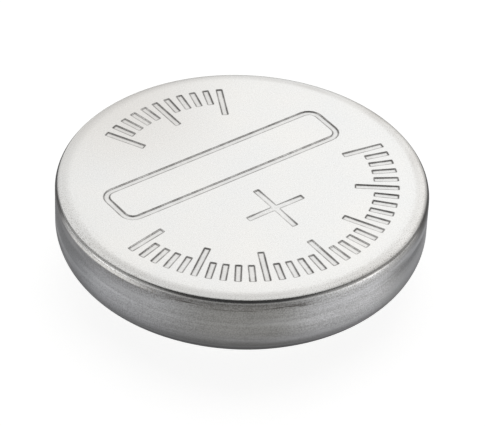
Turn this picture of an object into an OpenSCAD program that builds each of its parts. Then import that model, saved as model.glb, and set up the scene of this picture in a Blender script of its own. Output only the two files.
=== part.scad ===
// Silver oxide button cell, size SR54, lying on its negative cap.
// All sizes in millimetres. The axis is Z, the negative face lies on Z = 0 and the positive
// face looks up +Z. Every round piece is a half-section turned about the axis, and each
// half-section is drawn with X as the radius and Y as the height.

/* [Cell] */
// Diameter over the can's wall
cell_d = 11.6; // [11:0.1:14]
// Height over the two contact faces
cell_h = 3.05; // [2.9:0.05:4.5]
// How far the negative face stands out past the can's curled rim
cap_stand = 0.61; // [0.5:0.01:0.7]

/* [Positive can] */
// Thickness of the can's sheet
can_sheet = 0.25; // [0.2:0.01:0.28]
// Outside radius of the corner round the positive face
can_edge_r = 0.2; // [0.12:0.01:0.24]
// Inside radius of that corner
can_inner_r = 0.1; // [0.05:0.01:0.15]
// Width of the softly rounded band between the flat of the face and the wall
crown_w = 0.5; // [0.35:0.05:0.8]
// Radius of that band
crown_r = 2.2; // [1.5:0.1:4]
// Outside radius of the rim that is curled over the gasket
rim_r = 1.07; // [1:0.01:1.15]
// Angle that the curled rim turns through
rim_turn = 90; // [75:1:90]

/* [Stamped marks] */
// Depth of the marks in the positive face
stamp_depth = 0.03; // [0.02:0.01:0.1]
// Width of the stamped strokes
stroke_w = 0.18; // [0.1:0.01:0.22]
// Turn of the whole stamp about the cell's axis, in degrees
stamp_turn = 37; // [0:1:359]
// Length of the plus sign's two bars
plus_len = 2.05; // [1.2:0.05:2.4]
// Distance from the axis down to the plus sign
plus_off = 1.63; // [1.3:0.01:1.8]
// How far the sign lies to the right of the stamp's own middle line
plus_side = 0.08; // [0:0.01:0.2]
// Length of the blank panel's outline
panel_len = 8.2; // [6:0.1:8.4]
// Height of the blank panel's outline
panel_h = 1.7; // [1:0.05:1.8]
// Distance from the axis up to the middle of the panel
panel_off = 1.05; // [0.95:0.05:1.3]
// Outside radius of the panel's corners
panel_corner_r = 0.45; // [0.25:0.05:0.5]
// Radius that the graduation strokes reach out to
tick_outer_r = 4.85; // [4.6:0.05:5]
// Length of the long graduation strokes
tick_long = 1.35; // [0.9:0.05:1.5]
// Length of the short graduation strokes
tick_short = 0.75; // [0.4:0.05:0.85]
// Angle between two graduation strokes
tick_step = 5.3; // [4.5:0.1:8]
// Steps in the lower scale, from its first stroke to its last
scale_steps = 30; // [10:5:30]
// Steps in the upper scale, from its first stroke to its last
top_scale_steps = 10; // [5:5:10]
// Every how many strokes a long one comes
tick_group = 5; // [2:1:10]

/* [Negative cap] */
// Thickness of the cap's sheet
cap_sheet = 0.2; // [0.15:0.01:0.22]
// Diameter over the cap's upright wall
cap_d = 8.7; // [8:0.1:8.8]
// Outside radius of the corner round the negative face
cap_edge_r = 0.35; // [0.25:0.05:0.45]
// Radius where the upright wall turns out into the shoulder
neck_r = 0.18; // [0.1:0.01:0.19]

/* [Sealing gasket] */
// Thickness of the gasket squeezed between the can and the cap
gasket_wall = 0.22; // [0.18:0.01:0.26]
// Thickness of the gasket between the cap's edge and the support ring
gasket_foot = 0.18; // [0.12:0.01:0.22]
// Thickness of the gasket's inner lip beside the cap's skirt
lip_w = 0.3; // [0.2:0.01:0.4]
// How far the lip reaches in under the separator's rim
lip_hold = 0.3; // [0.2:0.01:0.5]
// How far the gasket's open edge sits back from the can's rim
gasket_setback = 0.08; // [0:0.01:0.15]

/* [Support ring] */
// Thickness of the ring's sheet
ring_sheet = 0.15; // [0.1:0.01:0.17]
// Outside radius of the ring's bend
ring_bend_r = 0.2; // [0.18:0.01:0.25]

/* [Cathode pellet] */
// Thickness of the pellet under the support ring
pellet_rim_h = 0.5; // [0.4:0.01:0.55]
// Thickness of the pellet in the middle
pellet_h = 0.9; // [0.85:0.01:0.98]
// Gap between the pellet and the can's wall
pellet_gap = 0.02; // [0.01:0.01:0.04]

/* [Separator] */
// Thickness of the barrier membrane
membrane_h = 0.08; // [0.05:0.01:0.12]
// Thickness of the absorbent pad
pad_h = 0.25; // [0.2:0.01:0.3]
// Gap between the pad and the gasket's lip
pad_gap = 0.03; // [0.01:0.01:0.06]

/* [Hidden] */
$fn = 96;

cell_r = cell_d / 2;
cap_r = cap_d / 2;
// A length past the edge of everything, for cuts that have to run right out
beyond = cell_d;

// The centre that the can's curled rim, the gasket and the cap's shoulder share
rim_x = cell_r - rim_r;
rim_z = cap_stand + rim_r;

// The cap's shoulder lies inside the curled rim, one gasket thickness away
shoulder_r = rim_r - can_sheet - gasket_wall;
shoulder_z = rim_z - shoulder_r;
skirt_r = rim_x + shoulder_r;
skirt_in_r = skirt_r - cap_sheet;

// Levels in the stack, from the can's inner face down
can_floor_z = cell_h - can_sheet;
pellet_rim_z = can_floor_z - pellet_rim_h;
pellet_z = can_floor_z - pellet_h;
ring_z = pellet_rim_z - ring_sheet;
skirt_z = ring_z - gasket_foot;
membrane_z = pellet_z - membrane_h;
pad_z = membrane_z - pad_h;

// Radii in the stack
pellet_r = cell_r - can_sheet - pellet_gap;
collar_r = skirt_in_r - lip_w;
boss_r = collar_r - ring_sheet;
lip_in_r = collar_r - lip_hold;

// The centre of the softly rounded band, and the centre of the corner that runs on from it
crown_x = cell_r - crown_w;
crown_z = cell_h - crown_r;
edge_x = cell_r - can_edge_r;
edge_z = crown_z + sqrt(pow(crown_r - can_edge_r, 2) - pow(crown_w - can_edge_r, 2));
crown_tilt = asin((crown_w - can_edge_r) / (crown_r - can_edge_r));

// A disc's slice: centre x, z, from one angle to another less than 180 degrees on
module slice(x, z, r, from, to) {
    middle = (from + to) / 2;
    reach = 2 * r;
    translate([x, z]) intersection() {
        circle(r = r);
        polygon([[0, 0], reach * [cos(from), sin(from)],
                 reach * [cos(middle), sin(middle)], reach * [cos(to), sin(to)]]);
    }
}

// A rectangle between two corners
module block(x0, z0, x1, z1) {
    translate([x0, z0]) square([x1 - x0, z1 - z0]);
}

// The small web in the corner between an upright on the left and a ledge above, with a
// hollow of radius r whose centre is x, z
module web(x, z, r) {
    difference() {
        block(x - r, z, x, z + r);
        translate([x, z]) circle(r = r);
    }
}

// Outside of the can, down to the height where its curled rim ends
module can_outside() {
    block(0, cap_stand, rim_x, cell_h);
    block(0, rim_z, crown_x, cell_h);
    block(0, rim_z, cell_r, edge_z);
    slice(crown_x, crown_z, crown_r, 90 - crown_tilt, 90);
    translate([edge_x, edge_z]) circle(r = can_edge_r);
    translate([rim_x, rim_z]) circle(r = rim_r);
}

// Room inside the can, with its open mouth below
module can_room() {
    inner_r = cell_r - can_sheet;
    block(0, rim_z, inner_r, can_floor_z - can_inner_r);
    block(0, rim_z, inner_r - can_inner_r, can_floor_z);
    translate([inner_r - can_inner_r, can_floor_z - can_inner_r]) circle(r = can_inner_r);
    slice(rim_x, rim_z, rim_r - can_sheet, -90, 0);
    block(0, 0, rim_x, rim_z);
    if (rim_turn < 90)
        polygon([[rim_x, rim_z], [rim_x, -beyond],
                 [rim_x + beyond * cos(rim_turn), rim_z - beyond * sin(rim_turn)]]);
}

// The cap's outline, set in from its outer surface by a distance, up to a height
module cap_outline(inset, top_z) {
    wall_r = cap_r - inset;
    edge_r = cap_edge_r - inset;
    block(0, cap_edge_r, wall_r, rim_z);
    block(0, inset, cap_r - cap_edge_r, rim_z);
    slice(cap_r - cap_edge_r, cap_edge_r, edge_r, -90, 0);
    web(cap_r + neck_r, shoulder_z - neck_r, neck_r + inset);
    block(0, shoulder_z + inset, rim_x, top_z);
    slice(rim_x, rim_z, shoulder_r - inset, -90, 0);
    block(0, rim_z, skirt_r - inset, top_z);
}

// Room inside the cap, open at the top
module cap_room() {
    cap_outline(cap_sheet, cell_h);
}

module cap_section() {
    difference() {
        cap_outline(0, skirt_z);
        cap_room();
    }
}

module ring_section() {
    bend_x = boss_r + ring_bend_r;
    bend_z = pellet_rim_z - ring_bend_r;
    difference() {
        union() {
            block(bend_x, ring_z, pellet_r, pellet_rim_z);
            block(boss_r, pellet_z, collar_r, bend_z);
            slice(bend_x, bend_z, ring_bend_r, 90, 180);
        }
        translate([bend_x, bend_z]) circle(r = ring_bend_r - ring_sheet);
    }
}

// One stamped stroke, lying along X from its inner end
module stroke(length) {
    translate([0, -stroke_w / 2]) square([length, stroke_w]);
}

// A row of radial strokes, with its middle at an angle round the axis
module scale_marks(middle, steps) {
    for (i = [0:steps]) {
        length = i % tick_group == 0 ? tick_long : tick_short;
        rotate(middle + (i - steps / 2) * tick_step)
            translate([tick_outer_r - length, 0]) stroke(length);
    }
}

// A rectangle with round corners, about its own middle
module round_panel(length, height, corner_r) {
    square([length - 2 * corner_r, height], center = true);
    square([length, height - 2 * corner_r], center = true);
    for (x = [-1, 1], y = [-1, 1])
        translate([x * (length / 2 - corner_r), y * (height / 2 - corner_r)])
            circle(r = corner_r);
}

// The marks in the positive face: a polarity sign, a blank panel and two plain scales
module stamp() {
    rotate(stamp_turn) {
        translate([plus_side, -plus_off])
            for (turn = [0, 90]) rotate(turn) translate([-plus_len / 2, 0]) stroke(plus_len);
        translate([0, panel_off]) difference() {
            round_panel(panel_len, panel_h, panel_corner_r);
            round_panel(panel_len - 2 * stroke_w, panel_h - 2 * stroke_w,
                        panel_corner_r - stroke_w);
        }
        scale_marks(-90, scale_steps);
        scale_marks(90, top_scale_steps);
    }
}

// Deep-drawn nickel-plated steel can: positive face, wall and the rim curled over the gasket
module positive_can() {
    color("#d4d5d2") difference() {
        rotate_extrude() difference() {
            can_outside();
            can_room();
        }
        translate([0, 0, cell_h - stamp_depth]) linear_extrude(beyond) stamp();
    }
}

// Pressed cap, nickel outside and copper inside: negative face, shoulder and skirt
module negative_cap() {
    color("#c9c9c4") rotate_extrude() cap_section();
}

// Moulded nylon gasket that keeps the can and the cap apart and seals the cell
module sealing_gasket() {
    color("#e6e3d8") rotate_extrude() difference() {
        intersection() {
            can_room();
            block(0, cap_stand + gasket_setback, cell_r, ring_z);
        }
        cap_section();
        intersection() {
            cap_room();
            union() {
                block(0, 0, cell_r, pad_z);
                block(0, 0, lip_in_r, cell_h);
            }
        }
        block(0, membrane_z, collar_r, cell_h);
        ring_section();
    }
}

// L-shaped steel ring that takes the squeeze of the crimp off the pellet's shoulder
module support_ring() {
    color("#b4b5b3") rotate_extrude() ring_section();
}

// Pressed silver oxide and graphite pellet with a stepped shoulder for the ring
module cathode_pellet() {
    color("#2c2b2a") rotate_extrude() {
        block(0, pellet_z, boss_r, can_floor_z);
        block(0, pellet_rim_z, pellet_r, can_floor_z - can_inner_r);
        block(0, pellet_rim_z, pellet_r - can_inner_r, can_floor_z);
        translate([pellet_r - can_inner_r, can_floor_z - can_inner_r]) circle(r = can_inner_r);
        web(boss_r + ring_bend_r, pellet_rim_z - ring_bend_r, ring_bend_r);
    }
}

// Ion-permeable film between the cathode and the anode side
module barrier_membrane() {
    color("#cfd3c2") translate([0, 0, membrane_z]) cylinder(h = membrane_h, r = collar_r);
}

// Non-woven disc that holds the electrolyte
module absorbent_pad() {
    color("#f0eee6") translate([0, 0, pad_z]) cylinder(h = pad_h, r = lip_in_r - pad_gap);
}

// Gelled zinc powder that fills the cap
module zinc_anode() {
    color("#75777a") rotate_extrude() intersection() {
        cap_room();
        block(0, 0, cell_r, pad_z);
    }
}

positive_can();
negative_cap();
sealing_gasket();
support_ring();
cathode_pellet();
barrier_membrane();
absorbent_pad();
zinc_anode();
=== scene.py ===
# A silver oxide button cell standing on its negative cap, with the stamped positive face up.
# Sizes and places are in millimetres, and MM turns them into the frame's metres.
import math
from types import SimpleNamespace

import bpy
import numpy as np
from mathutils import Matrix, Vector
from mathutils.geometry import delaunay_2d_cdt


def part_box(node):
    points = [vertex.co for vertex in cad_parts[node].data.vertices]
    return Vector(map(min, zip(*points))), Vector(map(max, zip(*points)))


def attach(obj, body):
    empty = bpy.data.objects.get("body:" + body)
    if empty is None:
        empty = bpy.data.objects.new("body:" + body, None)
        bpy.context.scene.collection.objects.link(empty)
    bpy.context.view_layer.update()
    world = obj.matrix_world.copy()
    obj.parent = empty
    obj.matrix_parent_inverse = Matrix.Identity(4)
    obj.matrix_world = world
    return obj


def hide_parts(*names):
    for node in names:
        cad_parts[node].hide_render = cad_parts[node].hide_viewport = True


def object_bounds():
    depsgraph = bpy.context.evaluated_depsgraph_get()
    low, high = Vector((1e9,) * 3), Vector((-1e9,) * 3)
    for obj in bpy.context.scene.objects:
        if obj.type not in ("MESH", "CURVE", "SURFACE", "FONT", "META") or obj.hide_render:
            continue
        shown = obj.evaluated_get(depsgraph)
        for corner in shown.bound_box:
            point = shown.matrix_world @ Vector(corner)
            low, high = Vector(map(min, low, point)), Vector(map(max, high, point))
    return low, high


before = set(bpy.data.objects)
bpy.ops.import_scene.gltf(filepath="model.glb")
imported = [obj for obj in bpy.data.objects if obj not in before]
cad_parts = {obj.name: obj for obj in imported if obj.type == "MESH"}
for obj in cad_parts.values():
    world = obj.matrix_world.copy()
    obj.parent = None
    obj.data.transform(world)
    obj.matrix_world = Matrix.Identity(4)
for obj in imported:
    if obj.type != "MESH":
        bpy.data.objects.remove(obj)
cad_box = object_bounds()
MM = 0.001


# ---- Camera ------------------------------------------------------------------------------
# A long lens that looks down on the positive face from the front, turned a little off level.
CAMERA_ELEVATION = 38.33
CAMERA_ROLL = 2.41
CAMERA_DISTANCE = 93.3
CAMERA_LENS = 223.7
# How far the aim lies under the middle of the face, up and down the view
AIM_BELOW_FACE = 0.98

cell_h = cad_box[1].z / MM


def add_camera():
    """Aims at a point just under the middle of the face. The camera's right and up are the
    level right and the tilted up, turned about the line of sight by the roll."""
    rise, roll = math.radians(CAMERA_ELEVATION), math.radians(CAMERA_ROLL)
    back = Vector((0, -math.cos(rise), math.sin(rise)))
    level, tilted = Vector((1, 0, 0)), Vector((0, math.sin(rise), math.cos(rise)))
    right = level * math.cos(roll) + tilted * math.sin(roll)
    up = tilted * math.cos(roll) - level * math.sin(roll)
    aim = Vector((0, 0, cell_h)) - up * AIM_BELOW_FACE
    camera = bpy.data.objects.new("camera", bpy.data.cameras.new("camera"))
    place = Matrix.Translation((aim + back * CAMERA_DISTANCE) * MM)
    camera.matrix_world = place @ Matrix((right, up, back)).transposed().to_4x4()
    camera.data.lens = CAMERA_LENS
    camera.data.clip_start, camera.data.clip_end = 1 * MM, 10_000 * MM
    bpy.context.collection.objects.link(camera)
    bpy.context.scene.camera = camera


add_camera()


# ---- Positive can ------------------------------------------------------------------------
# Deep drawn from nickel-plated steel sheet. Its flat end is the positive face, and its open
# rim is curled in over the gasket, which closes the cell. The marks are struck in the face:
# a polarity sign, a blank panel and two plain scales.
CAN_SHEET = 0.25
CAN_EDGE_R = 0.2
CAN_INNER_R = 0.1
CROWN_W = 0.5
CROWN_R = 2.2
RIM_R = 1.07
# Steps round the can, along its curled rim, its corner and its crown, and along other roundings
CAN_SEGMENTS = 384
CURL_STEPS = 24
CORNER_STEPS = 16
CROWN_STEPS = 8
ROUNDING_STEPS = 12
# A short straight row under the corner keeps the wall's shading flat
STRAIGHT_ROW = 0.05
SHARP_ANGLE = 40
# The tightest arc that a swept wall turns round
TIGHTEST_BEND = 0.004
# Points nearer than this are one, and so are corners of the flat nearer than the second
SAME_POINT = 1e-6
SAME_CORNER = 1e-7

can_low, can_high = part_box("positive_can")
cell_r = can_high.x / MM
rim_low = can_low.z / MM
rim_x, rim_z = cell_r - RIM_R, rim_low + RIM_R
crown_x, crown_z = cell_r - CROWN_W, cell_h - CROWN_R
edge_x = cell_r - CAN_EDGE_R
edge_z = crown_z + math.sqrt((CROWN_R - CAN_EDGE_R) ** 2 - (CROWN_W - CAN_EDGE_R) ** 2)
crown_tilt = math.degrees(math.asin((CROWN_W - CAN_EDGE_R) / (CROWN_R - CAN_EDGE_R)))
can_floor = cell_h - CAN_SHEET
can_room_r = cell_r - CAN_SHEET


def arc(x, z, r, start, end, steps):
    """Points of a circle of radius r about x, z, from one angle to another in degrees."""
    t = np.radians(np.linspace(start, end, steps + 1))
    return np.column_stack((x + r * np.cos(t), z + r * np.sin(t)))


def swept(corners, bend, across, steps):
    """Carries a section along the closed path round some corners. Where the path turns by an
    angle, the points go round an arc whose radius is the bend plus the distance out, or minus
    it in an inner corner. A point that would pass the arc's centre gets a larger bend, so that
    its own arc stays the tightest allowed. Returns a grid: section point, path point."""
    corners = np.asarray(corners, float)
    along = np.roll(corners, -1, axis=0) - corners
    along /= np.linalg.norm(along, axis=1)[:, None]
    right = np.column_stack((along[:, 1], -along[:, 0]))
    before = np.roll(right, 1, axis=0)
    turn = np.arctan2(
        before[:, 0] * right[:, 1] - before[:, 1] * right[:, 0], (before * right).sum(1)
    )
    side = np.sign(turn)[:, None]
    out, height = across[:, 0, None, None], across[:, 1]
    bend = np.where(out == 0, bend, np.maximum(bend, TIGHTEST_BEND - side * out))
    centre = corners - side * bend * (before + right) / (1 + np.cos(turn))[:, None]
    t = np.linspace(0, 1, steps + 1)[None, :] * turn[:, None]
    normal = np.stack(
        (
            before[:, :1] * np.cos(t) - before[:, 1:] * np.sin(t),
            before[:, :1] * np.sin(t) + before[:, 1:] * np.cos(t),
        ),
        -1,
    )
    path = centre[:, :, None, :] + (side * bend + out)[..., None] * normal[None]
    grid = np.concatenate(
        (path, np.broadcast_to(height[:, None, None, None], path.shape[:3] + (1,))), -1
    )
    return grid.reshape(len(across), -1, 3)


def section(*runs):
    """Joins runs of points into one half-section, without the points that two runs share."""
    points = np.vstack(runs)
    step = np.linalg.norm(np.diff(points, axis=0), axis=1)
    return points[np.concatenate(([True], step > SAME_POINT))]


def profile(*corners, steps=ROUNDING_STEPS):
    """A half-section from its corners, each (x, z, radius of the arc that rounds it), with
    the metal on the left of the way round."""
    corners = np.array(corners, float)
    return section(swept(corners[:, :2], corners[:, 2:], np.zeros((1, 2)), steps)[0, :, :2])


def turned(points, segments, closed=False):
    """A surface of revolution: vertex (i, j) is point i of the half-section, turned about the
    axis by j / segments of a full turn. The half-section runs with the metal on its left, and
    closed joins its end to its start. Returns the vertices and the four-cornered faces."""
    turn = 2 * np.pi * np.arange(segments) / segments
    r, z = points[:, 0], points[:, 1]
    x, y = np.outer(r, np.cos(turn)), np.outer(r, np.sin(turn))
    vertices = np.stack((x, y, np.outer(z, np.ones(segments))), -1).reshape(-1, 3)
    number = np.arange(len(points) * segments).reshape(len(points), segments)
    number[r < SAME_POINT] = number[r < SAME_POINT][:, :1]
    rows = np.vstack((number, number[:1])) if closed else number
    after = np.roll(rows, -1, axis=1)
    faces = np.stack((rows[:-1], after[:-1], after[1:], rows[1:]), -1).reshape(-1, 4)
    return vertices, faces.tolist()


def build(name, vertices, faces, values=()):
    """A smooth mesh object from vertices in millimetres, and (name, value at each vertex) pairs.
    Corners of a face that lie on one pole are made one, and unused vertices are left out."""
    faces = [[v for k, v in enumerate(face) if v != face[k - 1]] for face in faces]
    used = np.unique(np.concatenate(faces))
    renumber = np.zeros(len(vertices), int)
    renumber[used] = np.arange(len(used))
    mesh = bpy.data.meshes.new(name)
    mesh.from_pydata((vertices[used] * MM).tolist(), [], [renumber[f].tolist() for f in faces])
    mesh.shade_smooth()
    mesh.set_sharp_from_angle(angle=math.radians(SHARP_ANGLE))
    for key, value in values:
        mesh.attributes.new(key, "FLOAT", "POINT").data.foreach_set("value", value[used])
    piece = bpy.data.objects.new(name, mesh)
    bpy.context.collection.objects.link(piece)
    return piece


def finish(piece, node, slot, *materials):
    """Gives a piece its materials and its place in the frame."""
    for material in materials:
        piece.data.materials.append(material)
    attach(piece, "root")
    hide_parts(node)


STAMP_DEPTH = 0.03
STROKE_W = 0.18
# How far the whole stamp is turned. Before that, the plus sign lies under the middle and a hair
# to the right, and the panel over the middle.
STAMP_TURN = 37
PLUS_LEN = 2.05
PLUS_OFF = 1.63
PLUS_SIDE = 0.08
PANEL_LEN = 8.2
PANEL_H = 1.7
PANEL_OFF = 1.05
PANEL_CORNER_R = 0.45
# The scales' strokes point at the middle, a step of the angle apart, and every fifth is long
TICK_OUTER_R = 4.85
TICK_LONG = 1.35
TICK_SHORT = 0.75
TICK_STEP = 5.3
TICK_GROUP = 5
SCALE_STEPS = 30
TOP_SCALE_STEPS = 10
# The punch's edges: round lip and foot, draft from upright, and corners seen from above
LIP_R = 0.018
LIP_STEPS = 4
DRAFT = 25
STROKE_CORNER_R = 0.02
STROKE_CORNER_STEPS = 5
# The flat strips beside each lip and each foot, and the share of the marks' painted shade on the
# foot's strip
FLAT_STRIP = 0.02
FOOT_STRIP = 0.03
FLOOR_GROOVE_SHADE = 0.18
# How much of the stamp's depth is left where the plus sign's bars cross, and how far out it
# takes to reach the full depth
CROSSING_DEPTH = 0.1
CROSSING_R = 0.8


def wall_section():
    """Across one stamped wall: distance out from the stroke's edge, height, and how much painted
    shade it takes. A round lip turns down from the face, a straight draft follows, and a round foot
    turns into the floor. The painted shade starts at the lip and fades out on the floor."""
    lean = math.radians(90 - DRAFT)
    t = np.linspace(0, lean, LIP_STEPS + 1)
    lip_run, lip_drop = LIP_R * np.sin(t), LIP_R * (1 - np.cos(t))
    straight = (STAMP_DEPTH - 2 * lip_drop[-1]) / math.tan(lean)
    half = lip_run[-1] + straight / 2
    out = np.concatenate((half - lip_run, (lip_run - half)[::-1]))
    height = np.concatenate((-lip_drop, (lip_drop - STAMP_DEPTH)[::-1]))
    out = np.concatenate(([half + FLAT_STRIP], out, [-half - FOOT_STRIP]))
    height = np.concatenate(([0], height, [-STAMP_DEPTH]))
    # How much painted shade each row takes: none on the flat, full from the lip down the wall, a
    # little on the floor
    groove_shade = np.concatenate(([0], np.ones(len(out) - 2), [FLOOR_GROOVE_SHADE]))
    return np.column_stack((out, height, groove_shade))


def placed(corners, turn, x, y):
    """Corners turned about the origin by an angle in degrees and then moved."""
    c, s = math.cos(math.radians(turn)), math.sin(math.radians(turn))
    return np.asarray(corners, float) @ np.array([[c, s], [-s, c]]) + (x, y)


def bar(x0, x1, width):
    """The corners of a bar that lies along X."""
    return [[x0, -width / 2], [x1, -width / 2], [x1, width / 2], [x0, width / 2]]


def stamped_marks():
    """Every mark as (grid, painted shade on the grid, has a floor). Strokes are bars and a plus,
    each with one wall round it. The panel is a groove of one stroke's width, swept round its
    middle line. The plus is shallower towards its middle, in proportion to the distance from it."""
    wall = wall_section()
    a, b = PLUS_LEN / 2, STROKE_W / 2
    plus = [[b, -a], [b, -b], [a, -b], [a, b], [b, b], [b, a],
            [-b, a], [-b, b], [-a, b], [-a, -b], [-b, -b], [-b, -a]]
    outlines = [placed(plus, 0, PLUS_SIDE, -PLUS_OFF)]
    for middle, steps in ((-90, SCALE_STEPS), (90, TOP_SCALE_STEPS)):
        for i in range(steps + 1):
            length = TICK_SHORT if i % TICK_GROUP else TICK_LONG
            tick = bar(TICK_OUTER_R - length, TICK_OUTER_R, STROKE_W)
            outlines.append(placed(tick, middle + (i - steps / 2) * TICK_STEP, 0, 0))
    marks = [
        (swept(outline, STROKE_CORNER_R, wall, STROKE_CORNER_STEPS), wall[:, 2:], True)
        for outline in outlines
    ]
    groove = np.vstack((wall + (b, 0, 0), (wall * (-1, 1, 1) - (b, 0, 0))[::-1]))
    middle_line = bar(b - PANEL_LEN / 2, PANEL_LEN / 2 - b, PANEL_H - STROKE_W)
    middle_line = placed(middle_line, 0, 0, PANEL_OFF)
    panel = swept(middle_line, PANEL_CORNER_R - b, groove, STROKE_CORNER_STEPS)
    marks.append((panel, groove[:, 2:], False))
    cross, groove_shade, _ = marks[0]
    away = np.hypot(cross[..., 0] - PLUS_SIDE, cross[..., 1] + PLUS_OFF) / CROSSING_R
    share = CROSSING_DEPTH + (1 - CROSSING_DEPTH) * np.clip(away, 0, 1)
    marks[0] = (np.dstack((cross[..., :2], cross[..., 2] * share)), groove_shade * share, True)
    return marks


def inside(points, loop):
    """Which points lie inside a closed loop: a ray along X crosses it an odd number of times."""
    x, y = points[:, :1], points[:, 1:]
    x0, y0 = loop[:, 0], loop[:, 1]
    x1, y1 = np.roll(x0, -1), np.roll(y0, -1)
    crosses = (y0 > y) != (y1 > y)
    at = x0 + (y - y0) * (x1 - x0) / np.where(y1 == y0, 1, y1 - y0)
    return (crosses & (x < at)).sum(1) % 2 == 1


def flat_between(loops):
    """Triangles of the flat that lies inside an odd number of the loops. Each loop is (points
    in the plane, their vertex numbers)."""
    points = np.vstack([p for p, _ in loops])
    numbers = np.concatenate([n for _, n in loops])
    edges, start = [], 0
    for p, _ in loops:
        ring = np.arange(start, start + len(p))
        edges += np.column_stack((ring, np.roll(ring, -1))).tolist()
        start += len(p)
    found = delaunay_2d_cdt([Vector(p) for p in points], edges, [], 0, SAME_CORNER)
    _, _, faces, sources, _, _ = found
    triangles = np.array([source[0] for source in sources])[np.array(faces)]
    middles = points[triangles].mean(axis=1)
    count = sum(inside(middles, p).astype(int) for p, _ in loops)
    keep = triangles[count % 2 == 1]
    ab, ac = points[keep[:, 1]] - points[keep[:, 0]], points[keep[:, 2]] - points[keep[:, 0]]
    down = ab[:, 0] * ac[:, 1] - ab[:, 1] * ac[:, 0] < 0
    keep[down] = keep[down][:, ::-1]
    return numbers[keep].tolist()


def can_surface():
    """The whole sheet, inside and out: one turned surface from the middle of the inner floor
    round to the crown, the marks' swept walls, their floors, and the flat between them."""
    half_section = section(
        profile(
            (0, can_floor, 0),
            (can_room_r, can_floor, CAN_INNER_R),
            (can_room_r, rim_low + CAN_SHEET, RIM_R - CAN_SHEET),
            (rim_x, rim_low + CAN_SHEET, 0),
            (rim_x, rim_low, 0),
            (cell_r, rim_low, RIM_R),
            (cell_r, edge_z - STRAIGHT_ROW, 0),
            (cell_r, edge_z, 0),
            steps=CURL_STEPS,
        ),
        arc(edge_x, edge_z, CAN_EDGE_R, 0, 90 - crown_tilt, CORNER_STEPS),
        arc(crown_x, crown_z, CROWN_R, 90 - crown_tilt, 90, CROWN_STEPS),
    )
    vertices, faces = turned(half_section, CAN_SEGMENTS)
    rim_of_flat = np.arange(len(vertices) - CAN_SEGMENTS, len(vertices))
    loops = [(vertices[rim_of_flat, :2], rim_of_flat)]
    sheets, groove_shades, start = [vertices], [np.zeros(len(vertices))], len(vertices)
    for grid, groove_shade, has_floor in stamped_marks():
        rows, around = grid.shape[:2]
        flat = grid.reshape(-1, 3)
        flat = np.column_stack((placed(flat[:, :2], STAMP_TURN, 0, 0), flat[:, 2] + cell_h))
        number = start + np.arange(rows * around).reshape(rows, around)
        after = np.roll(number, -1, axis=1)
        squares = np.stack((number[:-1], after[:-1], after[1:], number[1:]), -1)
        faces += squares.reshape(-1, 4).tolist()
        loops.append((flat[:around, :2], number[0]))
        if has_floor:
            faces.append(number[-1].tolist())
        else:
            loops.append((flat[-around:, :2], number[-1]))
        sheets.append(flat)
        groove_shades.append(np.broadcast_to(groove_shade, (rows, around)).ravel())
        start += rows * around
    return np.vstack(sheets), faces + flat_between(loops), [("groove_shade", np.concatenate(groove_shades))]


def paint(code):
    """An sRGB hex colour as linear red, green, blue and alpha."""
    values = [int(code[i : i + 2], 16) / 255 for i in (1, 3, 5)]
    return [v / 12.92 if v <= 0.04045 else ((v + 0.055) / 1.055) ** 2.4 for v in values] + [1]


def add(tree, kind, inputs=(), **settings):
    """Adds a node. Inputs are (name or number, value or what feeds it), and what feeds it is
    another node's output, or a node for its first output."""
    node = tree.nodes.new("ShaderNode" + kind)
    for key, value in settings.items():
        setattr(node, key, value)
    for key, value in inputs:
        if isinstance(value, bpy.types.Node):
            value = value.outputs[0]
        if isinstance(value, bpy.types.NodeSocket):
            tree.links.new(value, node.inputs[key])
        else:
            node.inputs[key].default_value = value
    return node


def start_material(name):
    """An empty node material, with the piece's own coordinates in millimetres."""
    material = bpy.data.materials.new(name)
    material.use_nodes = True
    tree = material.node_tree
    tree.nodes.clear()
    metres = add(tree, "TexCoord").outputs["Object"]
    return material, tree, add(tree, "Mapping", [("Vector", metres), ("Scale", (1 / MM,) * 3)])


def end_material(material, *sockets):
    """Closes a material with its shader, whose sockets are set as a node's inputs are."""
    shader = add(material.node_tree, "BsdfPrincipled", sockets)
    add(material.node_tree, "OutputMaterial", [("Surface", shader)])
    return material


def out_from_axis(tree, place):
    """The distance from the cell's axis: the length of the place without its height."""
    level = add(tree, "VectorMath", [(0, place), (1, (1, 1, 0))], operation="MULTIPLY")
    return add(tree, "VectorMath", [(0, level)], operation="LENGTH").outputs["Value"]


def zone(tree, *limits):
    """How strongly a point belongs to a zone: the levels of its limits, multiplied. A limit is
    another zone, or (a measure, where its smooth step starts and ends, the levels there)."""
    share = None
    for limit in limits:
        if isinstance(limit, tuple):
            measure, start, end, *levels = limit
            low, high = levels or (0, 1)
            step = [(0, measure), (1, start), (2, end), (3, low), (4, high)]
            limit = add(tree, "MapRange", step, interpolation_type="SMOOTHSTEP")
        if share is not None:
            limit = add(tree, "Math", [(0, share), (1, limit)], operation="MULTIPLY")
        share = limit
    return share


def stained(tree, tint, *stains):
    """A tint with stains laid over it in turn, each (the zone it covers, its sRGB colour)."""
    for share, colour in stains:
        tint = add(tree, "MixRGB", [(0, share), (1, tint), (2, paint(colour))])
    return tint


# The plating's textures: how often each one changes in a millimetre round the can and up it,
# and its octaves. The grain and the sand are drawn a few times coarser than they are, to show.
PLATING_TEXTURES = {
    "grain": (22, 22, 2),
    "sand": (26, 26, 2),
    "wear": (2.5, 2.5, 2),
    "cloud": (0.5, 0.5, 3),
    "smear": (0.45, 0.45, 1),
    "fine_lines": (0.5, 16, 4),
    "broad_lines": (0.22, 2.2, 2),
    "scratches": (0.8, 18, 3),
}
# Rings to the millimetre on the curled rim
CURL_RINGS = 12
# The face is rougher from one grain to the next, the rubbed corner is smoother, the wall is dull
FACE_ROUGH = (0.26, 0.34)
CORNER_ROUGH = 0.22
WALL_ROUGH = 0.5
# How far the wall's lines stretch what it mirrors, and how deep the grain and the lines are
WALL_STRETCH = 0.85
RELIEF = 0.0012


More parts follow.
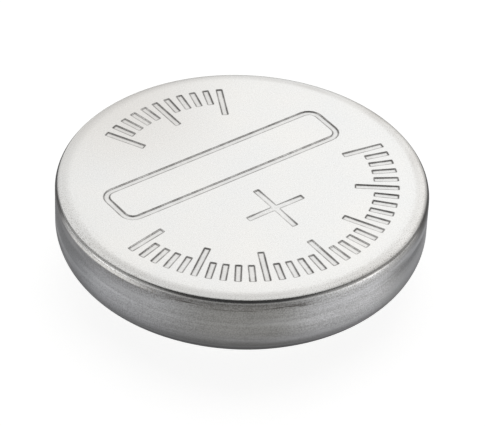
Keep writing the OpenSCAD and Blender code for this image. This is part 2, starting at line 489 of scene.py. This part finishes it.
def can_measures(tree, place):
    """What the plating goes by at each point: x and y, the distance to either side and out from
    the axis, the rise over the wall's upper edge, and each texture's level."""
    axis = add(tree, "SeparateXYZ", [(0, place)])
    at = SimpleNamespace(x=axis.outputs["X"], y=axis.outputs["Y"], out=out_from_axis(tree, place))
    at.aside = add(tree, "Math", [(0, at.x)], operation="ABSOLUTE")
    at.rise = add(tree, "Math", [(0, axis.outputs["Z"]), (1, edge_z)], operation="SUBTRACT")
    for name, (each_mm_round, each_mm_up, octaves) in PLATING_TEXTURES.items():
        scale = (each_mm_round, each_mm_round, each_mm_up)
        scaled = add(tree, "Mapping", [("Vector", place), ("Scale", scale)])
        level = add(tree, "TexNoise", [("Vector", scaled), ("Scale", 1), ("Detail", octaves)])
        setattr(at, name, level)
    return at


def face_tint(tree, at):
    """The face: two pale greys in slow clouds, a dull ring at its edge, strongest on the right,
    that is partly smudged plating and partly painted shade, with painted shade on the corner at the
    right, a darker patch at the back left, and painted shade, in patches, on the walls of the
    marks."""
    # A ring on the crown: smudges and painted shade, strongest on the right
    smudge_and_shade = add(tree, "Math", [
        (0, zone(tree, (at.x, -1, 4, 0.05, 0.7), (at.y, -4.5, -0.5, 0.25, 1))),
        (1, zone(tree, (at.y, -2, -4.5, 0, 0.22))),
    ])
    stops = add(tree, "Math", [
        (0, zone(tree, (at.out, edge_x + 0.02, edge_x - 0.08))), (1, zone(tree, (at.x, 1, 4))),
    ], operation="MAXIMUM")
    smudge_and_shade = zone(tree, smudge_and_shade, stops, (at.out, crown_x, edge_x - 0.12), (at.smear, 0.35, 0.6, 0.5, 1))
    # Painted shade on the corner at the right
    corner_shade = zone(tree, (at.out, edge_x - 0.08, edge_x + 0.04, 0, 0.22), (at.x, 2, 4.5))
    haze = zone(tree, (at.x, 0.5, -4, 0, 0.7), (at.y, -1, 3.5))
    groove_shade = add(tree, "Attribute", attribute_name="groove_shade").outputs["Fac"]
    return stained(
        tree, paint("#E3E4E4"),
        (at.cloud, "#EAE8E4"),
        (add(tree, "Math", [(0, smudge_and_shade), (1, corner_shade)]), "#B8B5B1"),
        (haze, "#D9D6D2"),
        # Painted shade on the walls of the marks, in patches
        (zone(tree, groove_shade, (at.wear, 0.32, 0.62, 0.6, 1)), "#959391"),
    )


def wall_tint(tree, at, shaded_ends):
    """The wall, from its plating, which is painted much darker than the face as painted shade, to
    the painted shade at both ends that comes last. Rise is measured from the line where the wall
    meets the corner, so what lies under the corner has a negative rise."""
    left = zone(tree, (at.x, -2, -3.8))
    return stained(
        # The base colour: the plating painted much darker than the face, as painted shade
        tree, paint("#A1A3A8"),
        # Plating: warmer from the middle to the right, with painted shade that greys both ends,
        # and painted highlights, pale on either side of the front, most so on the right
        (zone(tree, (at.x, -4.5, 0)), "#AAA9A6"),
        (zone(tree, (at.aside, 4, 5.4)), "#999A9D"),
        (zone(tree, (at.aside, 0.8, 2.8), (at.aside, 5.2, 4), (at.x, -3, 3, 0.42, 0.95)),
         "#D6D6D8"),
        # The drawing's fine lines, its sand, and its broad pale lines
        (zone(tree, (at.fine_lines, 0.35, 0.65, 0, 0.22)), "#80807F"),
        (zone(tree, (at.sand, 0.4, 0.62, 0, 0.42)), "#6F6E6C"),
        (zone(tree, (at.broad_lines, 0.5, 0.75, 0, 0.5)), "#D9D9DC"),
        # Painted shade with a sandy grain close under the corner at the front, and a wider, weaker
        # band of painted shade on its left
        (zone(tree, (at.rise, -0.28, -0.02, 0, 0.6), (at.sand, 0.4, 0.62, 0.4, 1),
              (at.y, -3.4, -4.6), (at.x, 2.8, 0.8)), "#666462"),
        (zone(tree, left, (at.rise, -0.9, -0.2, 0, 0.3), (at.rise, 0, -0.05),
              (at.x, -5.5, -4.7, 0.5, 1)), "#666462"),
        # A pale sandy band along the corner on the left: a painted highlight
        (zone(tree, left, (at.rise, -0.04, 0, 0, 0.75), (at.rise, 0.1, 0.05),
              (at.x, -5.5, -4.9), (at.sand, 0.35, 0.5, 0.6, 1)), "#EFEDE8"),
        # A fine broken pale line round the wall, strongest on the left: a painted highlight
        (zone(tree, (at.rise, -0.78, -0.7, 0, 0.25), (at.rise, -0.6, -0.68), (at.x, -5.3, -4.6),
              (at.x, -1, -3, 0.45, 1), (at.broad_lines, 0.38, 0.6, 0.3, 1)), "#F2F2F4"),
        # Painted light low down at the right end
        (zone(tree, (at.rise, -0.5, -1, 0, 0.38), (at.x, 4, 4.9)), "#D9D9DB"),
        # Painted shade at both ends: under the corner, at it and over it
        (zone(tree, shaded_ends, (at.rise, -0.4, -0.05, 0, 0.4)), "#5C5B59"),
        (zone(tree, shaded_ends, (at.rise, -0.02, 0.06, 0, 0.45)), "#5C5B59"),
        (zone(tree, shaded_ends, (at.rise, 0.09, 0.13, 0, 0.5)), "#3A3938"),
    )


def shaded_rim_tint(tree, at):
    """The curled rim: painted dark, as painted shade, with rings where the crimping die slid over
    it.
    """
    rings = add(tree, "TexNoise", [("W", at.out), ("Scale", CURL_RINGS), ("Detail", 3)],
                noise_dimensions="1D")
    return stained(tree, paint("#575758"), (zone(tree, (rings, 0.4, 0.65)), "#676769"))


def rubbed_zone(tree, at):
    """Where the drawing die rubbed, from the crown's middle down past the corner: most on both
    sides of the front, less at the right, and least at the back."""
    reach = add(tree, "Math", [
        (0, zone(tree, (at.y, 1, -2.5, 0.25, 1))), (1, zone(tree, (at.x, 2, 4.5, 0, 0.7))),
    ], operation="MAXIMUM")
    return zone(tree, reach, (at.out, crown_x - 0.25, crown_x + 0.35), (at.rise, -0.3, 0),
                (at.y, -5.6, -4.6, 0.5, 1))


def satin_nickel():
    """Electroplated nickel on drawn steel. The face is satin, with a fine even grain from the
    punch. The wall is duller, its colour is painted much darker than the face's as painted shade,
    and its fine lines round the can stretch what it mirrors up and down. That finish reaches over
    the corner at the front and at both ends, which also carry painted shade. The crown and the
    corner are sandy, with a few dark scratches round the front."""
    material, tree, place = start_material("satin nickel plate")
    at = can_measures(tree, place)
    # Both ends: they take painted shade, and the wall's finish over the corner
    shaded_ends = zone(tree, (at.aside, 4.95, 5.6), (at.rise, 0.18, 0.13))
    wall = zone(tree, (at.rise, 0.035, -0.06))
    for over_corner in (zone(tree, (at.y, -4.7, -5.4, 0.75, 1), (at.rise, 0.14, 0.07)), shaded_ends):
        wall = add(tree, "Math", [(0, wall), (1, over_corner)], operation="MAXIMUM")
    # The curled rim, whose colour is painted darker than the wall as painted shade
    rim_shade = zone(tree, (at.rise, rim_z + 0.4 - edge_z, rim_low + 0.25 - edge_z))
    corner = zone(tree, (at.out, crown_x + 0.2, edge_x + 0.06))
    rubbed = rubbed_zone(tree, at)
    scratched = zone(tree, (at.scratches, 0.52, 0.6, 0, 0.8), (at.y, -5.2, -5.6),
                     (at.rise, -0.2, -0.1), (at.rise, 0.06, 0))

    side = add(tree, "MixRGB", [(0, rim_shade), (1, wall_tint(tree, at, shaded_ends)), (2, shaded_rim_tint(tree, at))])
    tint = add(tree, "MixRGB", [(0, wall), (1, face_tint(tree, at)), (2, side)])
    tint = stained(tree, tint, (zone(tree, rubbed, (at.sand, 0.52, 0.64, 0, 0.5)), "#8F8A84"),
                   (scratched, "#4A4744"))
    rough = zone(tree, (at.grain, 0.3, 0.7, *FACE_ROUGH))
    rough = add(tree, "Mix", [(0, corner), (2, rough), (3, CORNER_ROUGH)])
    rough = add(tree, "Mix", [(0, wall), (2, rough), (3, WALL_ROUGH)])
    relief = add(tree, "Mix", [(0, wall), (2, at.grain), (3, at.fine_lines)])
    half_rubbed = add(tree, "Math", [(0, rubbed), (1, 0.5)], operation="MULTIPLY")
    relief = add(tree, "Mix", [(0, half_rubbed), (2, relief), (3, at.sand)])
    return end_material(
        material,
        ("Base Color", tint), ("Metallic", 1), ("Roughness", rough),
        ("Specular Tint", paint("#B5B5B5")),
        # Only the wall's lines stretch what it mirrors. A quarter turn sets them round the can.
        ("Anisotropic", add(tree, "Math", [(0, wall), (1, WALL_STRETCH)], operation="MULTIPLY")),
        ("Anisotropic Rotation", 0.25),
        ("Tangent", add(tree, "Tangent", direction_type="RADIAL", axis="Z")),
        ("Normal", add(tree, "Bump", [("Height", relief), ("Distance", RELIEF * MM)])),
    )


can = build("positive_can_sheet", *can_surface())
finish(can, "positive_can", "can_nickel", satin_nickel())


# ---- Cathode pellet ----------------------------------------------------------------------
# Silver oxide powder with a little graphite, pressed into a disc with a stepped shoulder and
# pushed into the can, so that it touches the positive face's inner side.
INNER_SEGMENTS = 192
PELLET_EDGE_R = 0.03

pellet_r, pellet_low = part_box("cathode_pellet")[1].x / MM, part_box("cathode_pellet")[0].z / MM
ring_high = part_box("support_ring")[1].z / MM
collar_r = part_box("barrier_membrane")[1].x / MM
RING_SHEET = 0.15
RING_BEND_R = 0.2
boss_r = collar_r - RING_SHEET


def pressed_silver_oxide():
    """Matt, nearly black compact. Its pressed skin is smooth, with specks of powder of about
    0.08 mm, drawn coarser than they are to show, and a few glints of silver."""
    material, tree, place = start_material("pressed silver oxide and graphite")
    powder = add(tree, "TexNoise", [("Vector", place), ("Scale", 12), ("Detail", 3)])
    speck = add(tree, "TexVoronoi", [("Vector", place), ("Scale", 9)])
    glint = add(tree, "MapRange", [(0, speck.outputs["Distance"]), (1, 0.12), (2, 0.05)])
    tint = stained(tree, paint("#201F1E"), (powder, "#3B3937"), (glint, "#77736C"))
    rough = add(tree, "MapRange", [(0, powder), (3, 0.75), (4, 0.5)])
    bump = add(tree, "Bump", [("Height", powder), ("Distance", 0.008 * MM)])
    return end_material(material, ("Base Color", tint), ("Roughness", rough), ("Normal", bump))


pellet_section = profile(
    (0, pellet_low, 0),
    (boss_r, pellet_low, PELLET_EDGE_R),
    (boss_r, ring_high, RING_BEND_R),
    (pellet_r, ring_high, PELLET_EDGE_R),
    (pellet_r, can_floor, CAN_INNER_R),
    (0, can_floor, 0),
)
pellet = build("cathode_pellet_disc", *turned(pellet_section, INNER_SEGMENTS))
finish(pellet, "cathode_pellet", "silver_oxide", pressed_silver_oxide())


# ---- Support ring ------------------------------------------------------------------------
# A thin steel ring, pressed to an L in section and nickel plated. It sits on the pellet's
# shoulder and takes the squeeze of the crimp.
RING_EDGE_R = 0.02

ring_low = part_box("support_ring")[0].z / MM


def drawn_ring_steel():
    """Plated steel as it leaves the press: fairly bright, with lines round the ring about
    0.03 mm apart, from its distance out and its height."""
    material, tree, place = start_material("nickel plated ring steel")
    height = add(tree, "SeparateXYZ", [(0, place)]).outputs["Z"]
    across = add(tree, "CombineXYZ", [(0, out_from_axis(tree, place)), (2, height)])
    lines = add(tree, "TexNoise", [("Vector", across), ("Scale", 30), ("Detail", 3)])
    tint = stained(tree, paint("#A6A7A6"), (lines, "#BFC0BD"))
    rough = add(tree, "MapRange", [(0, lines), (3, 0.36), (4, 0.24)])
    bump = add(tree, "Bump", [("Height", lines), ("Distance", 0.001 * MM)])
    return end_material(
        material, ("Base Color", tint), ("Metallic", 1), ("Roughness", rough), ("Normal", bump)
    )


ring_section = profile(
    (boss_r, ring_low, RING_EDGE_R),
    (collar_r, ring_low, RING_EDGE_R),
    (collar_r, ring_high - RING_SHEET, RING_BEND_R - RING_SHEET),
    (pellet_r, ring_high - RING_SHEET, RING_EDGE_R),
    (pellet_r, ring_high, RING_EDGE_R),
    (boss_r, ring_high, RING_BEND_R),
)
ring = build("support_ring_pressing", *turned(ring_section, INNER_SEGMENTS, closed=True))
finish(ring, "support_ring", "ring_steel", drawn_ring_steel())


# ---- Barrier membrane and absorbent pad ---------------------------------------------------
# Two discs that lie between the pellet and the zinc. The membrane is a grafted film that lets
# ions through. The pad is a non-woven fleece that holds the electrolyte. Both are punched out.
membrane_low, membrane_high = (corner.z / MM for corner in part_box("barrier_membrane"))
pad_low, pad_high = (corner.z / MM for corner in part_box("absorbent_pad"))
pad_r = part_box("absorbent_pad")[1].x / MM
PAD_EDGE_R = 0.05
FLEECE_TURNS = (35, 125)


def grafted_film():
    """Thin straw-coloured film with a soft gloss, and slight waves about 0.8 mm long where it
    has swollen."""
    material, tree, place = start_material("grafted film")
    wave = add(tree, "TexNoise", [("Vector", place), ("Scale", 1.2), ("Detail", 3)])
    tint = stained(tree, paint("#C7CCB8"), (wave, "#D8DBCC"))
    bump = add(tree, "Bump", [("Height", wave), ("Distance", 0.02 * MM)])
    return end_material(
        material, ("Base Color", tint), ("Roughness", 0.3), ("Coat Weight", 0.2), ("Normal", bump)
    )


def wet_fleece():
    """Off-white fibres about 0.03 mm thick and 0.5 mm long that cross at all angles, here as
    two layers at right angles, of which the higher one shows."""
    material, tree, place = start_material("non-woven fleece")
    fibres = 0
    for turn in FLEECE_TURNS:
        spin = add(tree, "Mapping", [("Vector", place), ("Rotation", (0, 0, math.radians(turn)))])
        along = add(tree, "Mapping", [("Vector", spin), ("Scale", (2, 30, 30))])
        layer = add(tree, "TexNoise", [("Vector", along), ("Scale", 1), ("Detail", 2)])
        fibres = add(tree, "Math", [(0, fibres), (1, layer)], operation="MAXIMUM")
    strand = add(tree, "MapRange", [(0, fibres), (1, 0.45), (2, 0.7)])
    tint = stained(tree, paint("#D2CFC4"), (strand, "#F4F2EB"))
    bump = add(tree, "Bump", [("Height", strand), ("Distance", 0.02 * MM)])
    return end_material(
        material, ("Base Color", tint), ("Roughness", 0.85), ("Sheen Weight", 0.3), ("Normal", bump)
    )


membrane_section = profile(
    (0, membrane_low, 0),
    (collar_r, membrane_low, 0),
    (collar_r, membrane_high, 0),
    (0, membrane_high, 0),
)
membrane = build("barrier_membrane_disc", *turned(membrane_section, INNER_SEGMENTS))
finish(membrane, "barrier_membrane", "membrane_film", grafted_film())
pad_section = profile(
    (0, pad_low, 0),
    (pad_r, pad_low, PAD_EDGE_R),
    (pad_r, pad_high, PAD_EDGE_R),
    (0, pad_high, 0),
)
pad = build("absorbent_pad_disc", *turned(pad_section, INNER_SEGMENTS))
finish(pad, "absorbent_pad", "pad_fleece", wet_fleece())


# ---- Sealing gasket ----------------------------------------------------------------------
# Moulded from nylon. Its foot lies between the ring and the cap's skirt, its wall between the
# can and the cap, and its lip ends as a thin ring that shows round the cap below.
GASKET_EDGE_R = 0.02
CAP_SHEET = 0.2
CAP_EDGE_R = 0.35
NECK_R = 0.18
CAP_R = 4.35
LIP_HOLD = 0.3
SEAT_STEPS = 4

gasket_low, gasket_high = (corner.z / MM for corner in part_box("sealing_gasket"))
skirt_r, skirt_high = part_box("negative_cap")[1].x / MM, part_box("negative_cap")[1].z / MM
skirt_room_r = skirt_r - CAP_SHEET
shoulder_r = skirt_r - rim_x
shoulder_z = rim_z - shoulder_r
pad_meets = math.degrees(math.asin((pad_low - rim_z) / (shoulder_r - CAP_SHEET)))


def moulded_nylon():
    """Natural nylon, milky and slightly see-through, with the soft gloss of the mould and a
    haze that changes every 0.3 mm or so."""
    material, tree, place = start_material("natural nylon")
    haze = add(tree, "TexNoise", [("Vector", place), ("Scale", 3), ("Detail", 3)])
    tint = stained(tree, paint("#DEDACD"), (haze, "#ECE9E0"))
    rough = add(tree, "MapRange", [(0, haze), (3, 0.34), (4, 0.46)])
    bump = add(tree, "Bump", [("Height", haze), ("Distance", 0.004 * MM)])
    return end_material(
        material,
        ("Base Color", tint), ("Roughness", rough), ("IOR", 1.53), ("Normal", bump),
        ("Subsurface Weight", 0.2), ("Subsurface Scale", 0.3 * MM),
    )


gasket_section = section(
    profile(
        (CAP_R, gasket_low, GASKET_EDGE_R),
        (rim_x, gasket_low, GASKET_EDGE_R),
        (rim_x, rim_low + CAN_SHEET, 0),
        (can_room_r, rim_low + CAN_SHEET, RIM_R - CAN_SHEET),
        (can_room_r, gasket_high, GASKET_EDGE_R),
        (collar_r, gasket_high, RING_BEND_R - RING_SHEET),
        (collar_r, membrane_low, 0),
        (collar_r - LIP_HOLD, membrane_low, GASKET_EDGE_R),
        (collar_r - LIP_HOLD, pad_low, 0),
    ),
    arc(rim_x, rim_z, shoulder_r - CAP_SHEET, pad_meets, 0, SEAT_STEPS),
    profile(
        (skirt_room_r, rim_z, 0),
        (skirt_room_r, skirt_high, 0),
        (skirt_r, skirt_high, 0),
        (skirt_r, shoulder_z, shoulder_r),
        (CAP_R, shoulder_z, NECK_R),
        (CAP_R, gasket_low + GASKET_EDGE_R, 0),
    ),
)
gasket = build("sealing_gasket_moulding", *turned(gasket_section, CAN_SEGMENTS, closed=True))
finish(gasket, "sealing_gasket", "gasket_nylon", moulded_nylon())


# ---- Zinc anode --------------------------------------------------------------------------
# Zinc powder in a clear gel of electrolyte, poured into the cap, which it fills up to the pad.
SHOULDER_STEPS = 10

cap_room_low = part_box("zinc_anode")[0].z / MM


def zinc_in_gel():
    """Grey grains about 0.12 mm across, wet and glossy under the gel."""
    material, tree, place = start_material("gelled zinc powder")
    grain = add(tree, "TexVoronoi", [("Vector", place), ("Scale", 8)])
    shade = add(tree, "SeparateXYZ", [(0, grain.outputs["Color"])])
    tint = stained(tree, paint("#63656A"), (shade, "#9B9DA1"))
    dips = [("Height", grain.outputs["Distance"]), ("Distance", 0.03 * MM)]
    return end_material(
        material,
        ("Base Color", tint), ("Metallic", 0.6), ("Roughness", 0.5), ("Coat Weight", 0.5),
        ("Coat Roughness", 0.1), ("Normal", add(tree, "Bump", dips, invert=True)),
    )


anode_section = section(
    profile(
        (0, cap_room_low, 0),
        (CAP_R - CAP_SHEET, cap_room_low, CAP_EDGE_R - CAP_SHEET),
        (CAP_R - CAP_SHEET, shoulder_z + CAP_SHEET, NECK_R + CAP_SHEET),
        (rim_x, shoulder_z + CAP_SHEET, 0),
    ),
    arc(rim_x, rim_z, shoulder_r - CAP_SHEET, -90, pad_meets, SHOULDER_STEPS),
    [[0, pad_low]],
)
anode = build("zinc_anode_fill", *turned(anode_section, INNER_SEGMENTS))
finish(anode, "zinc_anode", "zinc_gel", zinc_in_gel())


# ---- Negative cap ------------------------------------------------------------------------
# Pressed from steel strip clad with nickel outside and copper inside. Its flat end is the
# negative face, and its skirt is held in the gasket by the can's curled rim.
CAP_BRIM_R = 0.04


def cap_nickel():
    """Nickel cladding: a soft satin with a grain of about 0.05 mm, in rings from the punch
    about 0.07 mm apart that are brighter and duller by turns. Both are drawn coarse to show."""
    material, tree, place = start_material("satin nickel cladding")
    rings = add(tree, "TexNoise", [("W", out_from_axis(tree, place)), ("Scale", 14), ("Detail", 3)],
                noise_dimensions="1D")
    grain = add(tree, "TexNoise", [("Vector", place), ("Scale", 20), ("Detail", 3)])
    cloud = add(tree, "TexNoise", [("Vector", place), ("Scale", 0.6), ("Detail", 3)])
    ringed = add(tree, "MapRange", [(0, rings), (1, 0.45), (2, 0.7), (3, 0), (4, 0.35)])
    tint = stained(tree, paint("#B2B3B3"), (cloud, "#C2C1BD"), (ringed, "#8E8D8A"))
    rough = add(tree, "MapRange", [(0, grain), (1, 0.3), (2, 0.7), (3, 0.22), (4, 0.34)])
    relief = add(tree, "Mix", [(0, 0.35), (2, grain), (3, rings)])
    bump = add(tree, "Bump", [("Height", relief), ("Distance", 0.002 * MM)])
    return end_material(
        material, ("Base Color", tint), ("Metallic", 1), ("Roughness", rough), ("Normal", bump)
    )


def copper_lining():
    """Copper cladding on the inner side, dull in patches of about 0.7 mm where the gel wets
    it."""
    material, tree, place = start_material("copper cladding")
    stain = add(tree, "TexNoise", [("Vector", place), ("Scale", 1.5), ("Detail", 4)])
    tint = stained(tree, paint("#B87A5C"), (stain, "#D19A7C"))
    rough = add(tree, "MapRange", [(0, stain), (3, 0.45), (4, 0.3)])
    return end_material(material, ("Base Color", tint), ("Metallic", 1), ("Roughness", rough))


cap_outside = profile(
    (0, 0, 0),
    (CAP_R, 0, CAP_EDGE_R),
    (CAP_R, shoulder_z, NECK_R),
    (skirt_r, shoulder_z, shoulder_r),
    (skirt_r, skirt_high, CAP_BRIM_R),
    (skirt_room_r, skirt_high, 0),
)
cap_inside = profile(
    (skirt_room_r, skirt_high, 0),
    (skirt_room_r, shoulder_z + CAP_SHEET, shoulder_r - CAP_SHEET),
    (CAP_R - CAP_SHEET, shoulder_z + CAP_SHEET, NECK_R + CAP_SHEET),
    (CAP_R - CAP_SHEET, cap_room_low, CAP_EDGE_R - CAP_SHEET),
    (0, cap_room_low, 0),
)
cap = build("negative_cap_pressing", *turned(section(cap_outside, cap_inside), CAN_SEGMENTS))
# The copper starts at the brim's inner edge, which is the last point of the outside
lined = np.arange(len(cap.data.polygons)) // CAN_SEGMENTS >= len(cap_outside) - 1
cap.data.polygons.foreach_set("material_index", lined.astype(np.int32))
finish(cap, "negative_cap", "cap_nickel", cap_nickel(), copper_lining())


# ---- Studio ------------------------------------------------------------------------------
# A white floor that sweeps up at its far edge, one large round softbox behind and above the
# cell, and a room with pale side walls and a pale front low down. It is dark overhead.
FLOOR_R = 450
FLOOR_GLOW = 0.84
FLOOR_DROP = 0.01
BACKDROP_H = 26
BACKDROP_COVE_R = 20
SOFTBOX_LEAN = 50
SOFTBOX_HALF_ANGLE = 46
SOFTBOX_DISTANCE = 300
SOFTBOX_RADIANCE = 0.74
# The softbox's brightest spot, by its lean from overhead and its turn to the right
HOT_SPOT_LEAN = 55
HOT_SPOT_TURN = 6
# How bright each part of the room is: the spot and its shoulders on the right and left, the
# left and right side walls, the front, both sides, the patches behind, and the rest
HOT_SPOT = 0.46
HOT_SHOULDERS = (0.4, 0.14)
SIDE_WALLS = (2.09, 3.04)
LOW_FRONT = 0.6
BOTH_SIDES = 0.32
LOW_BEHIND = 0.4
GLOOM = 0.03


def add_floor():
    """A level pale floor, a hair under the cap, whose far edge sweeps up into a low backdrop
    all round. To the eye and in reflections it glows as well, so that it is white away from the
    cell and keeps the cell's shadow. From below it isn't seen."""
    sweep = profile(
        (FLOOR_R, BACKDROP_H, 0), (FLOOR_R, -FLOOR_DROP, BACKDROP_COVE_R), (0, -FLOOR_DROP, 0)
    )
    floor = build("floor", *turned(sweep, INNER_SEGMENTS))
    material = bpy.data.materials.new("white studio floor")
    material.use_nodes = True
    tree = material.node_tree
    tree.nodes.clear()
    path = add(tree, "LightPath")
    seen = path.outputs["Is Camera Ray"]
    for ray in ("Is Glossy Ray", "Is Transmission Ray"):
        seen = add(tree, "Math", [(0, seen), (1, path.outputs[ray])], operation="MAXIMUM")
    glow = add(tree, "Math", [(0, seen), (1, FLOOR_GLOW)], operation="MULTIPLY")
    matt = add(tree, "BsdfDiffuse", [("Color", paint("#B4B4B3"))])
    lit = add(tree, "AddShader", [(0, matt), (1, add(tree, "Emission", [("Strength", glow)]))])
    under = add(tree, "NewGeometry").outputs["Backfacing"]
    mixed = add(tree, "MixShader", [(0, under), (1, lit), (2, add(tree, "BsdfTransparent"))])
    add(tree, "OutputMaterial", [("Surface", mixed)])
    floor.data.materials.append(material)


def add_softbox():
    """A round area lamp that leans back from overhead. Its power is the radiance times pi times
    its area, so that a mirror turned to it shows that radiance. The eye doesn't see it."""
    lean = math.radians(SOFTBOX_LEAN)
    toward = Vector((0, math.sin(lean), math.cos(lean)))
    radius = SOFTBOX_DISTANCE * math.tan(math.radians(SOFTBOX_HALF_ANGLE))
    lamp = bpy.data.lights.new("softbox", "AREA")
    lamp.shape = "DISK"
    lamp.size = 2 * radius * MM
    lamp.energy = SOFTBOX_RADIANCE * math.pi * math.pi * (radius * MM) ** 2
    softbox = bpy.data.objects.new("softbox", lamp)
    softbox.location = toward * SOFTBOX_DISTANCE * MM
    softbox.rotation_mode = "QUATERNION"
    softbox.rotation_quaternion = toward.to_track_quat("Z", "Y")
    softbox.visible_camera = False
    bpy.context.collection.objects.link(softbox)


def add_room():
    """The room's light by direction, x to the right, y to the back and z up, each from -1 to 1.
    It is the sum of what each comment names, and what none of them reaches is nearly dark."""
    world = bpy.data.worlds.new("room")
    bpy.context.scene.world = world
    world.use_nodes = True
    tree = world.node_tree
    tree.nodes.clear()
    direction = add(tree, "TexCoord").outputs["Generated"]
    x, y, z = add(tree, "SeparateXYZ", [(0, direction)]).outputs
    aside = add(tree, "Math", [(0, x)], operation="ABSOLUTE")
    lean, turn = math.radians(HOT_SPOT_LEAN), math.radians(HOT_SPOT_TURN)
    spot = (math.sin(lean) * math.sin(turn), math.sin(lean) * math.cos(turn), math.cos(lean))
    near = add(tree, "VectorMath", [(0, direction), (1, spot)], operation="DOT_PRODUCT")
    near = near.outputs["Value"]
    right_shoulder, left_shoulder = HOT_SHOULDERS
    lights = (
        # Side walls up to about 25 degrees, a little in front of the cell, brighter on the right
        zone(tree, (z, 0.78, 0.3), (z, 0.42, 0.08), (y, -0.65, -0.2), (y, 0.05, -0.15),
             (x, -0.7, 0.7, *SIDE_WALLS)),
        # The front, which pales from about 45 degrees down to the floor
        zone(tree, (z, 0.72, 0.1, 0, LOW_FRONT), (y, 0.1, -0.1)),
        # Both sides at any height, but for what lies straight behind
        zone(tree, (aside, 0.38, 0.7, 0, BOTH_SIDES), (y, 0.75, 0.5)),
        # Two low patches behind, one on each side
        zone(tree, (aside, 0.15, 0.35), (aside, 0.75, 0.5), (y, 0.5, 0.75),
             (z, 0.35, 0.1, 0, LOW_BEHIND)),
        # The softbox's brightest spot, and its shoulders
        zone(tree, (near, 0.95, 0.99, 0, HOT_SPOT)),
        zone(tree, (near, 0.85, 0.95), (x, -0.05, 0.35, 0, right_shoulder)),
        zone(tree, (near, 0.75, 0.9), (x, -0.08, -0.25, 0, left_shoulder)),
    )
    light = GLOOM
    for part in lights:
        light = add(tree, "Math", [(0, light), (1, part)], operation="ADD")
    glow = add(tree, "Background", [("Color", (1, 1, 1, 1)), ("Strength", light)])
    add(tree, "OutputWorld", [("Surface", glow)])


add_floor()
add_softbox()
add_room()
bpy.context.scene.view_settings.view_transform = "Standard"
